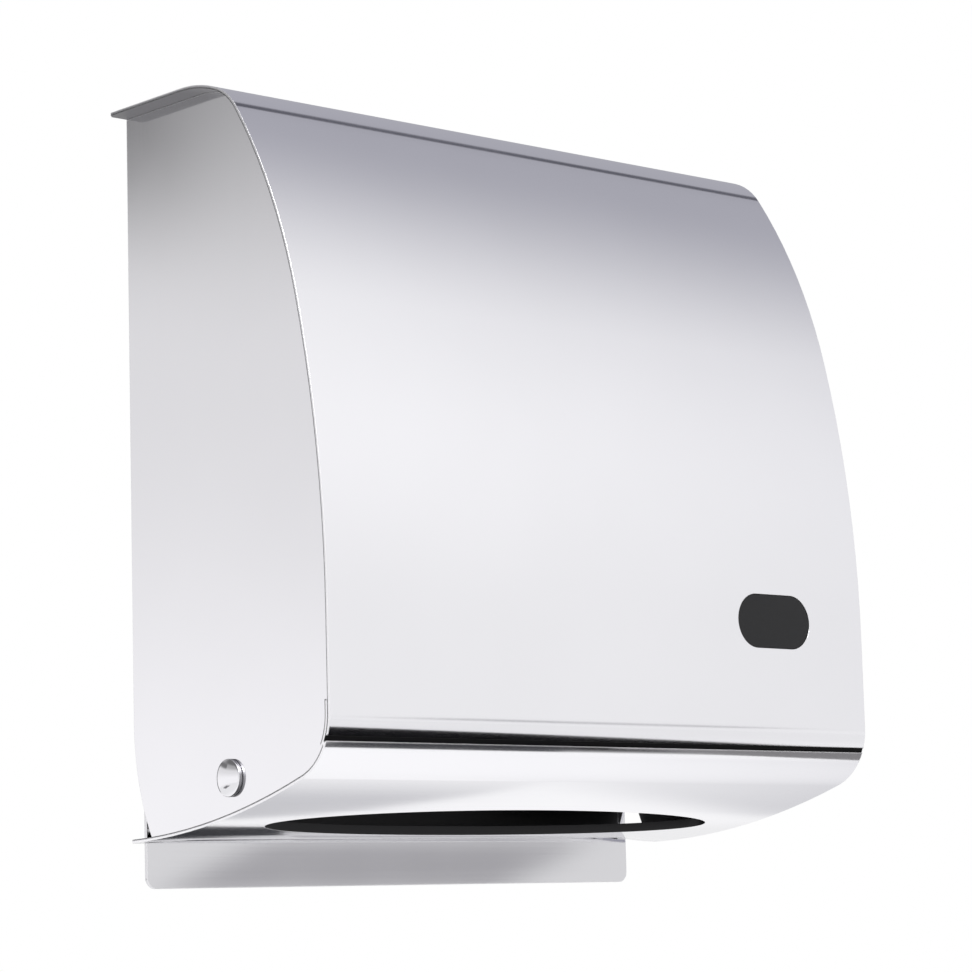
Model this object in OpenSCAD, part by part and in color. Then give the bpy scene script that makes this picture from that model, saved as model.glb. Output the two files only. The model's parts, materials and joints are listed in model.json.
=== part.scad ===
// Wall dispenser for interfold paper towels, made of polished sheet steel.
// A back plate stays on the wall, and the whole cover tilts forward on two low side pivots.
// Millimetres. X runs across the front, the wall is the plane Y = 0, the front faces -Y, Z is up.
// The origin is the centre of the four wall screws, on the wall.
// Heights named "above the lower edge" count from the rear edge of the lower panel.

/* [Cover] */
// Width of the front sheet and of the lower panel
cover_w = 260; // [230:1:320]
// Depth from the wall to the front of the cover
cover_d = 121; // [110:1:140]
// Height from the lower edge to the top of the cover
cover_h = 263.5; // [245:0.5:320]
// Thickness of the cover's sheet
sheet_t = 1.2; // [0.8:0.1:1.5]
// How far each side panel stands in from the ends of the front sheet
side_inset = 8; // [5:0.5:12]
// Gap between the wall and the rear edges of the front sheet and the side panels
rear_gap = 0.5; // [0.3:0.1:1.5]
// Cut across the front sheet's two corners at the wall
top_corner = 1.5; // [1:0.5:7]
// Cut across the lower panel's two corners at the wall
low_corner = 2; // [1:0.5:4]
// Width of the flanges that join the side panels to the sheets
flange_w = 10; // [6:1:12]
// Gap at the weld between a flange and the sheet that it joins
weld_gap = 0.05; // [0.02:0.01:0.1]
// Height above the lower edge where the rear edge of a side panel starts to curve forward
side_curve_h = 42; // [36:1:60]
// Radius of that curve
side_curve_r = 85; // [70:5:140]

/* [Front curve] */
// Radius of the lower, flatter part of the front
lower_front_r = 450; // [400:10:600]
// Angle that it turns through
lower_front_arc = 14; // [11:0.5:16]
// Radius of the upper part of the front
upper_front_r = 213; // [180:1:240]
// Angle that it turns through
upper_front_arc = 20.5; // [17:0.5:24]
// Radius of the bend between the front and the top
top_bend_r = 25; // [15:1:32]
// Angle that the bend turns through
top_bend_arc = 34.5; // [30:0.5:38]
// Radius of the crown that runs into the flat top
crown_r = 58; // [45:1:80]

/* [Underside curve] */
// Radius of the bend between the front and the underside
low_bend_r = 22; // [18:0.5:25]
// Angle that the bend turns through
low_bend_arc = 71; // [67:1:73]
// Radius of the underside
under_r = 325; // [290:5:400]
// Distance from the wall to the lower edge
lower_edge_d = 8; // [6:0.5:12]

/* [Seam] */
// How far below the start of the low bend the front sheet ends
seam_drop = 7.5; // [3:0.5:8]
// Height of the dark strip between the front sheet and the lower panel
strip_h = 1.6; // [1:0.1:5]
// How far the strip lies behind the face of the sheets
strip_recess = 0.3; // [0.1:0.1:0.6]
// How far the lower panel reaches up behind the front sheet
lap_h = 12; // [6:1:20]
// Gap round the lap in the side panels
lap_clear = 0.5; // [0.2:0.1:1]

/* [Outlet] */
// Length of the oval outlet
outlet_l = 212; // [160:1:218]
// Width of the oval outlet
outlet_w = 42; // [34:1:50]
// Distance from the wall to the middle of the outlet
outlet_d = 56; // [50:0.5:60]
// Height of the edge that is drawn up all round the outlet
outlet_lip_h = 2; // [1.5:0.5:7]

/* [Window] */
// Width of the sight window
window_w = 38; // [24:1:46]
// Height of the sight window
window_h = 20; // [12:1:24]
// Gap between the pane and the flange of the side panel beside it
window_gap = 1.5; // [1:0.5:40]
// Height of the middle of the window above the lower edge
window_z = 77; // [70:1:140]
// Thickness of the pane behind the sheet
pane_t = 2; // [1.5:0.1:3]
// How far the pane reaches past the window above and below
pane_border = 5; // [3:0.5:8]
// How far the pane reaches past the window at each end, for the studs
pane_end = 8; // [8:0.5:9]
// Gap all round between the pane's raised middle and the window
window_clear = 0.15; // [0.1:0.05:0.3]
// How far the pane's raised middle lies behind the face of the sheet
window_recess = 0.2; // [0.1:0.05:0.5]
// Diameter of the studs that hold the pane
stud_d = 3; // [2.5:0.5:4]
// Length of the studs
stud_l = 8; // [6.5:0.5:12]
// Diameter of the push-on clips
clip_d = 8; // [7:0.5:10]
// Thickness of the push-on clips
clip_t = 0.6; // [0.4:0.1:1]
// Gap round a stud in the pane and in its clip
stud_clear = 0.1; // [0.05:0.05:0.2]

/* [Back plate] */
// Thickness of the back plate
plate_t = 1.5; // [1:0.1:2.5]
// How far the back plate shows below the lower edge
plate_lip = 15.8; // [10:0.1:24]
// Distance from the underside of the top down to the top of the back plate
plate_drop = 13; // [10:0.5:16]
// Rounding of the back plate's lower corners
plate_low_r = 4; // [2:0.5:10]
// Rounding of the back plate's upper corners
plate_top_r = 8; // [4:0.5:14]
// Spacing of the wall screws across
fix_x = 150; // [120:1:170]
// Spacing of the wall screws up and down
fix_z = 160; // [120:1:170]
// Height of the middle of the wall screws above the lower edge
fix_h = 138; // [120:1:145]
// Diameter of the wall screw holes
fix_hole_d = 5.5; // [4:0.5:7]

/* [Pivot] */
// Distance from the wall to the pivots
pivot_d = 57; // [56:0.5:62]
// Height of the pivots above the lower edge
pivot_h = 20.5; // [18:0.5:23]
// Diameter of the rivet's shank
rivet_d = 6; // [4:0.5:7]
// Diameter of the rivet's dished head
rivet_head_d = 13; // [10:0.5:15]
// Height of the head
rivet_head_h = 1.4; // [1.2:0.1:3]
// Width of the rim round the dish in the head
rivet_rim = 0.8; // [0.5:0.1:1.2]
// Depth of the dish
rivet_dish = 1; // [0.6:0.1:1.1]
// Diameter of the rivet's tail
tail_d = 9; // [8.5:0.5:11]
// Height of the tail
tail_h = 1.8; // [1.2:0.1:3]
// Gap round a rivet where it is fixed
rivet_clear = 0.05; // [0.02:0.01:0.1]
// Gap round a rivet where the cover turns on it
pivot_clear = 0.05; // [0.02:0.01:0.1]
// Gap at each flat face that slides when the cover tilts
running_gap = 0.1; // [0.05:0.05:0.3]
// Diameter of the bush's flange
bush_flange_d = 14; // [12:0.5:17]
// Thickness of the bush's flange
bush_flange_t = 3; // [1:0.1:4.5]
// Thickness of the bush's wall
bush_wall = 1; // [0.8:0.1:1.4]
// Gap round the bush in its bracket
bush_clear = 0.02; // [0.01:0.01:0.05]
// Diameter of the washer under the tail
washer_d = 13; // [11:0.5:16]
// Thickness of that washer
washer_t = 1; // [0.6:0.1:1.6]
// Thickness of the brackets
bracket_t = 2; // [1.5:0.1:3]
// Radius of the bracket round the pivot
bracket_eye_r = 9; // [7.5:0.5:10]
// Width of the bracket's foot on the back plate
bracket_foot_w = 20; // [12:1:30]
// Height of the foot's lower end above the lower edge
bracket_low = 44; // [43:1:54]
// Height of the foot's upper end above the lower edge
bracket_high = 92; // [80:1:120]

/* [Lock] */
// Distance from the wall to the lock
lock_d = 21; // [20:0.5:22]
// Diameter of the barrel
barrel_d = 16; // [14:0.5:17]
// Width of the barrel across its two flats
barrel_flats = 13.5; // [13:0.5:15]
// Length of the barrel below the top sheet
barrel_l = 18; // [16:0.5:20]
// Diameter of the barrel's flange
barrel_flange_d = 20; // [18:0.5:24]
// Thickness of the barrel's flange
barrel_flange_t = 1.8; // [1.2:0.1:3]
// Gap round the barrel in the top sheet
barrel_clear = 0.1; // [0.05:0.05:0.2]
// Diameter of the plug
plug_d = 10; // [8:0.5:11]
// Gap round the plug in the barrel
plug_clear = 0.05; // [0.02:0.01:0.1]
// Width of the key slot
key_w = 1.4; // [1:0.1:2]
// Length of the key slot
key_l = 6.4; // [5:0.2:7]
// Depth of the key slot
key_depth = 9; // [5:0.5:12]
// Width of the nut across its flats
nut_flats = 21; // [20:0.5:24]
// Thickness of the nut
nut_t = 4; // [3:0.5:6]
// Reach of the cam from the middle of the lock
cam_l = 15; // [14:0.5:16]
// Width of the cam
cam_w = 11; // [10:0.5:12]
// Thickness of the cam
cam_t = 2; // [1.5:0.1:3]
// Gap between the barrel and the cam
cam_gap = 0.3; // [0.2:0.1:0.5]
// Side of the plug's square end, which drives the cam
tenon_w = 5; // [4:0.5:5.5]
// Gap round the square end in the cam
tenon_clear = 0.05; // [0.02:0.01:0.1]
// Diameter of the cam screw's shank
cam_screw_d = 3; // [2.5:0.1:3]
// Diameter of the cam screw's head
cam_screw_head_d = 7.5; // [7.4:0.1:9]
// Height of the cam screw's head
cam_screw_head_h = 2; // [1.4:0.1:3]
// Length of the cam screw below its head
cam_screw_l = 7; // [5:0.5:8]
// Thickness of the keeper
keeper_t = 1.5; // [1:0.1:2]
// Height of the keeper
keeper_h = 10; // [8:0.5:11]
// Gap between the locked cam and the keeper's hook
keeper_gap = 0.6; // [0.4:0.1:1]
// Width of the keeper's foot on the back plate
keeper_foot_w = 16; // [12:1:22]

/* [Hidden] */

$fn = 64;

// Length by which a cut or a trimmed outline runs past what it cuts
past = 5;

// Heights in the part's own frame
edge_z = -fix_h;
top_z = edge_z + cover_h;
top_under_z = top_z - sheet_t;
plate_low_z = edge_z - plate_lip;
plate_top_z = top_under_z - plate_drop;
pivot = [-pivot_d, edge_z + pivot_h];

// Places across the width, on the right-hand side
side_out_x = cover_w / 2 - side_inset;
side_in_x = side_out_x - sheet_t;
bush_out_x = side_in_x - running_gap;
bracket_out_x = bush_out_x - bush_flange_t;
bracket_in_x = bracket_out_x - bracket_t;
washer_out_x = bracket_in_x - running_gap;
washer_in_x = washer_out_x - washer_t;
plate_w = 2 * bracket_out_x;
window_x = side_in_x - flange_w - window_gap - pane_end - window_w / 2;

// Inset of what lies against the inner face of the cover's sheets
seat = sheet_t + weld_gap;

// Outline of the cover in the Y-Z plane: arcs that run into each other, each [radius, from, to, order].
// An angle is that of the outward normal, 0 at the upright front and 90 on the top.
// Of two arcs that meet, the tighter one has the higher order. A straight stretch has order 0.
bend_from = lower_front_arc + upper_front_arc;
crown_from = bend_from + top_bend_arc;
upper_arcs = [
    [lower_front_r, 0, lower_front_arc, 1],
    [upper_front_r, lower_front_arc, bend_from, 2],
    [top_bend_r, bend_from, crown_from, 3],
    [crown_r, crown_from, 90, 1]
];
low_bend_run = low_bend_r * (1 - cos(low_bend_arc));
// Angle of the underside's normal at a distance from the wall
function under_angle(d) = -acos(cos(low_bend_arc) - (cover_d - low_bend_run - d) / under_r);
lower_arcs = [
    [low_bend_r, 0, -low_bend_arc, 2],
    [under_r, -low_bend_arc, under_angle(-past), 1]
];

// A tighter arc stands out by this much for each order, so that it crosses the one that it meets
arc_step = 0.003;
// Length by which it runs on past the place where they meet
arc_lap = 4;

function normal(a) = [-cos(a), sin(a)];
function total(list) = [for (v = list) 1] * list;
function rise(arcs) = total([for (a = arcs) a[0] * (sin(a[2]) - sin(a[1]))]);
function facets(r) = max($fn, ceil(1.5 * r));

// The angle by which an arc laps over one of its neighbours, if that one is wider or straight
function order(arcs, i) = i < 0 || i >= len(arcs) ? 0 : arcs[i][3];
function lap(arcs, i, beside) =
    order(arcs, i) > order(arcs, beside) ? sign(arcs[i][2]) * arc_lap / arcs[i][0] * 180 / PI : 0;

// Each arc as [centre, radius, from, to, lap before, lap after], one after the other from a starting point
function chain(start, arcs, i = 0) =
    i == len(arcs) ? [] :
    let (arc = arcs[i], centre = start - arc[0] * normal(arc[1]))
    concat(
        [[centre, arc[0] + arc[3] * arc_step, arc[1], arc[2], lap(arcs, i, i - 1), lap(arcs, i, i + 1)]],
        chain(centre + arc[0] * normal(arc[2]), arcs, i + 1)
    );

front_z = top_z - rise(upper_arcs);
low_bend_z = edge_z + low_bend_r * sin(low_bend_arc)
    - under_r * (sin(under_angle(lower_edge_d)) + sin(low_bend_arc));
seam_z = low_bend_z - seam_drop;
lower_panel_z = seam_z - strip_h;
upper_chain = chain([-cover_d, front_z], upper_arcs);
lower_chain = chain([-cover_d, low_bend_z], lower_arcs);

// A point in the middle of the rim below an arc
function in_rim(arc, a, inset) = arc[0] + (arc[1] - inset - past) * normal(a);

// Straight pieces in the outline of the outlet
outlet_sides = 72;

// Levels of the lock, downward from the top
barrel_low_z = top_under_z - barrel_l;
cam_top_z = barrel_low_z - cam_gap;
cam_low_z = cam_top_z - cam_t;
cam_mid_z = (cam_top_z + cam_low_z) / 2;
plug_top_z = top_z + barrel_flange_t;
keeper_hook_d = lock_d + cam_w / 2 + keeper_gap;
keeper_arm_x = cam_l + keeper_gap;

steel = [0.80, 0.80, 0.82];
satin = [0.66, 0.66, 0.68];
nylon = [0.90, 0.89, 0.86];
smoke = [0.08, 0.08, 0.09];
zinc = [0.72, 0.72, 0.70];

// The rim below one arc, moved inward by an inset
module arc_rim(arc, inset) {
    from = arc[2] - arc[4];
    to = arc[3] + arc[5];
    outer = 2 * arc[1];
    inner = max(0, arc[1] - inset - 2 * past);
    intersection() {
        translate(arc[0]) circle(r = arc[1] - inset, $fn = facets(arc[1]));
        polygon([
            arc[0] + inner * normal(from),
            arc[0] + outer * normal(from),
            arc[0] + outer * normal((from + to) / 2),
            arc[0] + outer * normal(to),
            arc[0] + inner * normal(to)
        ]);
    }
}

// Everything inside the cover's outline, moved inward by an inset and cut off just behind the wall
module outline(inset) {
    crown = upper_chain[len(upper_chain) - 1];
    intersection() {
        ahead(-past / 2);
        union() {
            for (arc = concat(upper_chain, lower_chain)) arc_rim(arc, inset);
            translate([crown[0][0], top_z - inset - 2 * past]) square([past - crown[0][0], 2 * past]);
            translate([inset - cover_d, low_bend_z]) square([2 * past, front_z - low_bend_z]);
            polygon(concat(
                [[past, top_z - inset - past]],
                [for (i = [len(upper_chain) - 1 : -1 : 0]) in_rim(upper_chain[i], upper_chain[i][3], inset)],
                [in_rim(upper_chain[0], 0, inset)],
                [in_rim(lower_chain[0], 0, inset)],
                [for (arc = lower_chain) in_rim(arc, arc[3], inset)]
            ));
        }
    }
}

// A sheet that follows the outline between two insets
module band(inset, depth) {
    difference() {
        outline(inset);
        outline(inset + depth);
    }
}

// The half plane below or above a height, or in front of a distance from the wall
module below(z) {
    translate([-2 * cover_d, z - 2 * cover_h]) square([3 * cover_d, 2 * cover_h]);
}
module above(z) {
    translate([-2 * cover_d, z]) square([3 * cover_d, 2 * cover_h]);
}
module ahead(d) {
    translate([-d - 2 * cover_d, edge_z - cover_h]) square([2 * cover_d, 3 * cover_h]);
}

// Draws a Y-Z outline out along X, from one place to another
module across(from, to) {
    translate([from, 0, 0]) rotate([90, 0, 90]) linear_extrude(to - from) children();
}
// Draws an X-Z outline out through the front
module through_front() {
    rotate([90, 0, 0]) linear_extrude(cover_d + past) children();
}
// Draws an X-Y outline up, from one height to another
module upright(from, to) {
    translate([0, 0, from]) linear_extrude(to - from) children();
}
// A rod along X, from one place to another
module rod(d, from, to) {
    translate([from, pivot[0], pivot[1]]) rotate([0, 90, 0]) cylinder(d = d, h = to - from);
}

// What a rounded corner takes off, with the corner at the left and rear of the origin
module corner_waste(r) {
    translate([-past, -r]) difference() {
        square([r + past, r + past]);
        translate([r + past, 0]) circle(r = r);
    }
}
// Both cut corners of a sheet that ends at a distance from the wall
module cut_corners(cut, d, from, to) {
    upright(from, to) for (side = [0, 1]) mirror([side, 0]) translate([-cover_w / 2, -d]) polygon([
        [-past, -cut - past], [-past, past], [cut + past, past]
    ]);
}

module slot(w, h) {
    for (side = [-1, 1]) translate([side * (w - h) / 2, 0]) circle(d = h);
    square([w - h, h], center = true);
}

// Sight window, seen from the front, with a border above and below and one at the ends
module window_outline(border, end) {
    translate([window_x, edge_z + window_z]) slot(window_w + 2 * end, window_h + 2 * border);
}
module stud_places() {
    for (side = [-1, 1]) translate([window_x + side * (window_w + pane_end) / 2, edge_z + window_z]) children();
}

// The oval outlet, seen from below: an ellipse, larger by a border
module oval(border) {
    half = [outlet_l / 2, outlet_w / 2];
    translate([0, -outlet_d]) polygon([
        for (i = [0 : outlet_sides - 1])
            let (a = 360 * i / outlet_sides, out = [half[1] * cos(a), half[0] * sin(a)])
            [half[0] * cos(a), half[1] * sin(a)] + border * out / norm(out)
    ]);
}

module barrel_outline(gap) {
    translate([0, -lock_d]) intersection() {
        circle(d = barrel_d + 2 * gap);
        square([barrel_flats + 2 * gap, 2 * barrel_d], center = true);
    }
}

module back_plate() {
    plate_h = plate_top_z - plate_low_z;
    color(steel) rotate([90, 0, 0]) linear_extrude(plate_t) difference() {
        translate([-plate_w / 2, plate_low_z]) square([plate_w, plate_h]);
        for (side = [0, 1]) mirror([side, 0]) {
            translate([-plate_w / 2, plate_top_z]) corner_waste(plate_top_r);
            translate([-plate_w / 2, plate_low_z]) mirror([0, 1]) corner_waste(plate_low_r);
        }
        for (x = [-1, 1], z = [-1, 1])
            translate([x * fix_x / 2, z * fix_z / 2]) circle(d = fix_hole_d);
    }
}

// Where a line from a point touches the bracket's eye, on one side or the other
function touch(p, side) =
    let (v = p - pivot, a = atan2(v[1], v[0]) + side * acos(bracket_eye_r / norm(v)))
    pivot + bracket_eye_r * [cos(a), sin(a)];

module pivot_bracket() {
    low = [-plate_t, edge_z + bracket_low];
    high = [-plate_t, edge_z + bracket_high];
    difference() {
        union() {
            across(bracket_in_x, bracket_out_x) {
                polygon([low, touch(low, -1), pivot, touch(high, 1), high]);
                translate(pivot) circle(r = bracket_eye_r);
            }
            translate([bracket_out_x - bracket_foot_w, -plate_t - bracket_t, edge_z + bracket_low])
                cube([bracket_foot_w, bracket_t, bracket_high - bracket_low]);
        }
        rod(rivet_d + 2 * (pivot_clear + bush_wall + bush_clear), bracket_in_x - past, bracket_out_x + past);
    }
}
module left_pivot_bracket() {
    color(satin) mirror([1, 0, 0]) pivot_bracket();
}
module right_pivot_bracket() {
    color(satin) pivot_bracket();
}

module pivot_bush() {
    difference() {
        union() {
            rod(bush_flange_d, bracket_out_x, bush_out_x);
            rod(rivet_d + 2 * (pivot_clear + bush_wall), bracket_in_x, bush_out_x);
        }
        rod(rivet_d + 2 * pivot_clear, bracket_in_x - past, bush_out_x + past);
    }
}
module left_pivot_bush() {
    color(nylon) mirror([1, 0, 0]) pivot_bush();
}
module right_pivot_bush() {
    color(nylon) pivot_bush();
}

module lock_keeper() {
    low_z = cam_mid_z - keeper_h / 2;
    arm_l = keeper_hook_d + keeper_t - plate_t;
    color(satin) translate([0, 0, low_z]) linear_extrude(keeper_h) {
        translate([keeper_arm_x, -plate_t - keeper_t]) square([keeper_foot_w, keeper_t]);
        translate([keeper_arm_x, -plate_t - arm_l]) square([keeper_t, arm_l]);
        translate([barrel_d / 2 + keeper_gap, -keeper_hook_d - keeper_t])
            square([keeper_arm_x + keeper_t - barrel_d / 2 - keeper_gap, keeper_t]);
    }
}

module front_sheet() {
    color(steel) difference() {
        across(-cover_w / 2, cover_w / 2) intersection() {
            band(0, sheet_t);
            above(seam_z);
            ahead(rear_gap);
        }
        cut_corners(top_corner, rear_gap, top_under_z - past, top_z + past);
        through_front() window_outline(0, 0);
        upright(top_under_z - past, top_z + past) barrel_outline(barrel_clear);
    }
}

// The strip lies on the lower panel's lap, between the two sheets
module seam_strip() {
    color(smoke) across(-cover_w / 2, cover_w / 2) intersection() {
        band(strip_recess, sheet_t - strip_recess);
        above(lower_panel_z);
        below(seam_z);
    }
}

module lower_panel() {
    color(steel) difference() {
        union() {
            across(-cover_w / 2, cover_w / 2) {
                intersection() {
                    band(0, sheet_t);
                    below(lower_panel_z);
                    ahead(lower_edge_d);
                }
                intersection() {
                    band(0, seat + sheet_t);
                    below(lower_panel_z);
                    above(lower_panel_z - sheet_t);
                }
                intersection() {
                    band(seat, sheet_t);
                    below(seam_z + lap_h);
                    above(lower_panel_z - sheet_t);
                }
            }
            intersection() {
                across(-cover_w / 2, cover_w / 2) band(sheet_t / 2, sheet_t / 2 + outlet_lip_h);
                upright(edge_z - past, lower_panel_z - past) oval(sheet_t);
            }
        }
        cut_corners(low_corner, lower_edge_d, edge_z - past, edge_z + past);
        upright(edge_z - past, lower_panel_z - past) oval(0);
    }
}

module side_panel() {
    difference() {
        union() {
            across(side_in_x, side_out_x) intersection() {
                outline(seat);
                ahead(rear_gap);
            }
            across(side_in_x - flange_w, side_in_x) intersection() {
                band(seat, sheet_t);
                ahead(2 * lower_edge_d);
            }
        }
        across(side_in_x - flange_w - past, side_out_x + past) {
            intersection() {
                band(0, 2 * seat);
                below(seam_z + lap_h + lap_clear);
                above(lower_panel_z - sheet_t - lap_clear);
            }
            translate([-rear_gap - side_curve_r, edge_z + side_curve_h]) difference() {
                translate([0, -2 * side_curve_h]) square([side_curve_r + past, 2 * side_curve_h]);
                circle(r = side_curve_r, $fn = facets(side_curve_r));
            }
        }
        rod(rivet_d + 2 * rivet_clear, side_in_x - past, side_out_x + past);
    }
}
module left_side_panel() {
    color(steel) mirror([1, 0, 0]) side_panel();
}
module right_side_panel() {
    color(steel) side_panel();
}

module pivot_rivet() {
    dish_w = rivet_head_d / 2 - rivet_rim;
    dish_r = (dish_w * dish_w + rivet_dish * rivet_dish) / (2 * rivet_dish);
    head_x = side_out_x + rivet_head_h;
    difference() {
        union() {
            rod(rivet_head_d, side_out_x, head_x);
            rod(rivet_d, washer_in_x, side_out_x);
            rod(tail_d, washer_in_x - tail_h, washer_in_x);
        }
        translate([head_x + dish_r - rivet_dish, pivot[0], pivot[1]]) rotate([0, 90, 0]) sphere(r = dish_r);
    }
}
module left_pivot_rivet() {
    color(steel) mirror([1, 0, 0]) pivot_rivet();
}
module right_pivot_rivet() {
    color(steel) pivot_rivet();
}

module pivot_washer() {
    difference() {
        rod(washer_d, washer_in_x, washer_out_x);
        rod(rivet_d + 2 * rivet_clear, washer_in_x - past, washer_out_x + past);
    }
}
module left_pivot_washer() {
    color(nylon) mirror([1, 0, 0]) pivot_washer();
}
module right_pivot_washer() {
    color(nylon) pivot_washer();
}

module window_pane() {
    color(smoke) difference() {
        union() {
            intersection() {
                across(0, cover_w / 2) band(seat, pane_t);
                through_front() window_outline(pane_border, pane_end);
            }
            intersection() {
                across(0, cover_w / 2) band(window_recess, seat + pane_t - window_recess);
                through_front() window_outline(-window_clear, -window_clear);
            }
        }
        through_front() stud_places() circle(d = stud_d + 2 * stud_clear);
    }
}

module window_studs() {
    color(satin) intersection() {
        across(0, cover_w / 2) band(sheet_t, stud_l);
        through_front() stud_places() circle(d = stud_d);
    }
}

module window_clips() {
    color(zinc) intersection() {
        across(0, cover_w / 2) band(seat + pane_t, clip_t);
        through_front() stud_places() difference() {
            circle(d = clip_d);
            circle(d = stud_d + 2 * stud_clear);
        }
    }
}

module lock_barrel() {
    color(zinc) difference() {
        union() {
            upright(top_z, plug_top_z) translate([0, -lock_d]) circle(d = barrel_flange_d);
            upright(barrel_low_z, top_z) barrel_outline(0);
        }
        upright(barrel_low_z - past, plug_top_z + past) translate([0, -lock_d])
            circle(d = plug_d + 2 * plug_clear);
    }
}

module lock_nut() {
    color(zinc) upright(top_under_z - nut_t, top_under_z) difference() {
        translate([0, -lock_d]) circle(d = nut_flats / cos(30), $fn = 6);
        barrel_outline(barrel_clear);
    }
}

module lock_plug() {
    color(zinc) difference() {
        union() {
            upright(cam_top_z, plug_top_z) translate([0, -lock_d]) circle(d = plug_d);
            upright(cam_low_z, cam_top_z) translate([0, -lock_d]) square(tenon_w, center = true);
        }
        upright(plug_top_z - key_depth, plug_top_z + past) translate([0, -lock_d])
            square([key_w, key_l], center = true);
        upright(cam_low_z - past, cam_low_z + cam_screw_l) translate([0, -lock_d])
            circle(d = cam_screw_d + 2 * tenon_clear);
    }
}

// The cam points to the wall while it is unlocked
module lock_cam() {
    color(zinc) upright(cam_low_z, cam_top_z) translate([0, -lock_d]) difference() {
        union() {
            circle(d = cam_w);
            translate([-cam_w / 2, 0]) square([cam_w, cam_l - cam_w / 2]);
            translate([0, cam_l - cam_w / 2]) circle(d = cam_w);
        }
        square(tenon_w + 2 * tenon_clear, center = true);
    }
}

module cam_screw() {
    color(satin) translate([0, -lock_d, 0]) {
        translate([0, 0, cam_low_z]) cylinder(d = cam_screw_d, h = cam_screw_l);
        translate([0, 0, cam_low_z - cam_screw_head_h]) cylinder(d = cam_screw_head_d, h = cam_screw_head_h);
    }
}

back_plate();
left_pivot_bracket();
right_pivot_bracket();
left_pivot_bush();
right_pivot_bush();
lock_keeper();
front_sheet();
seam_strip();
lower_panel();
left_side_panel();
right_side_panel();
left_pivot_rivet();
right_pivot_rivet();
left_pivot_washer();
right_pivot_washer();
window_pane();
window_studs();
window_clips();
lock_barrel();
lock_nut();
lock_plug();
lock_cam();
cam_screw();
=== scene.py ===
import json
import math

import bmesh
import bpy
from mathutils import Matrix, Vector


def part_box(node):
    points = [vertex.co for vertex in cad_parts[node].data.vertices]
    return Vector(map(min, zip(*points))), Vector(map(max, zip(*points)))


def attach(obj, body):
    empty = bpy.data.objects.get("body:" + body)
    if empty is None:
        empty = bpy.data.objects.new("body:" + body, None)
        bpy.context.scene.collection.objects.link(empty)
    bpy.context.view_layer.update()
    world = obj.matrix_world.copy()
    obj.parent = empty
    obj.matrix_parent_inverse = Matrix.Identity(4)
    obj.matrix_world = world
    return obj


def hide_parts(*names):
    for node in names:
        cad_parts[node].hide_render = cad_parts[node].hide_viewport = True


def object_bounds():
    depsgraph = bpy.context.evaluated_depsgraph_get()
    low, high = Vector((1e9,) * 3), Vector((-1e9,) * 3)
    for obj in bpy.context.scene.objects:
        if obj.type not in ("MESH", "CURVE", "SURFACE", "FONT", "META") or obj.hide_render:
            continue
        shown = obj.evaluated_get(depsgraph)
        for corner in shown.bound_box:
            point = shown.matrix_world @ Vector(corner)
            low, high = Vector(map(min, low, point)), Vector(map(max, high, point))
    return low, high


bl_info = {
    "name": "Interfold towel dispenser",
    "version": (1, 0, 0),
    "blender": (4, 5, 0),
    "location": "3D View > Sidebar > Dispenser",
    "description": "Finishes the solids of a wall dispenser for interfold paper towels",
    "category": "Object",
}

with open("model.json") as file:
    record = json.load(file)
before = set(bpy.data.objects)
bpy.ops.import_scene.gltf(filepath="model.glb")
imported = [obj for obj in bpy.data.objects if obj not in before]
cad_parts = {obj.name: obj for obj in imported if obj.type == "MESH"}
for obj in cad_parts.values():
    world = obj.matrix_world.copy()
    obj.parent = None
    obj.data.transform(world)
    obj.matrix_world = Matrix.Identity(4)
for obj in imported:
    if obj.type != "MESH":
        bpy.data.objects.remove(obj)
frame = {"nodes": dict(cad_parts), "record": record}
cad_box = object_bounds()
cad_middle = (Vector(cad_box[0]) + Vector(cad_box[1])) / 2

MM = 0.001

# Axes of the part
ACROSS = (1, 0, 0)
REARWARD = (0, 1, 0)
FORWARD = (0, -1, 0)
UP = (0, 0, 1)

# Places of the colour sockets in a Mix node, and the middle value of a noise
MIX_A = 6
MIX_B = 7
MIX_RESULT = 2
NOISE_MIDDLE = 0.5

# Sheets, plates and small parts, with the rounding of their edges in millimetres
FRONT_SHEET = {"front_sheet": 0.25}
LOWER_PANEL = {"lower_panel": 0.25}
SIDE_PANELS = {"left_side_panel": 0.3, "right_side_panel": 0.3}
BACK_PLATE = {"back_plate": 0.25}
BRACKETS = {"left_pivot_bracket": 0.3, "right_pivot_bracket": 0.3, "lock_keeper": 0.25}
RIVETS = {"left_pivot_rivet": 0.15, "right_pivot_rivet": 0.15}
BUSHES = {
    "left_pivot_bush": 0.2,
    "right_pivot_bush": 0.2,
    "left_pivot_washer": 0.12,
    "right_pivot_washer": 0.12,
}
SEAM_STRIP = {"seam_strip": 0.15}
WINDOW_PANE = {"window_pane": 0.12}
WINDOW_STUDS = {"window_studs": 0.12}
WINDOW_CLIPS = {"window_clips": 0.1}
LOCK_PARTS = {"lock_barrel": 0.25, "lock_nut": 0.25, "lock_plug": 0.12, "lock_cam": 0.2}
CAM_SCREW = {"cam_screw": 0.2}

# Points closer than this are one, faces flatter than this are one, and edges sharper than this are rounded
WELD = 0.06 * MM
FLAT_ANGLE = math.radians(0.3)
SHARP_ANGLE = math.radians(30)

# Stretch of the rolling lines on polished sheets and of the brush lines on satin ones
LINES_ACROSS = (5.0, 700.0, 700.0)
LINES_UPRIGHT = (700.0, 700.0, 5.0)
LINES_NOWHERE = (400.0, 400.0, 400.0)
BRUSHED_UPRIGHT = (900.0, 900.0, 12.0)
BRUSHED_IN_DEPTH = (900.0, 12.0, 900.0)
# Stretch of wiped smears, of the rubber's lines and of the pane's scratches
SMEARS_ACROSS = (7.0, 16.0, 16.0)
RUBBER_LINES = (9.0, 1400.0, 1400.0)
PANE_SCRATCHES = (60.0, 60.0, 1900.0)

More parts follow.
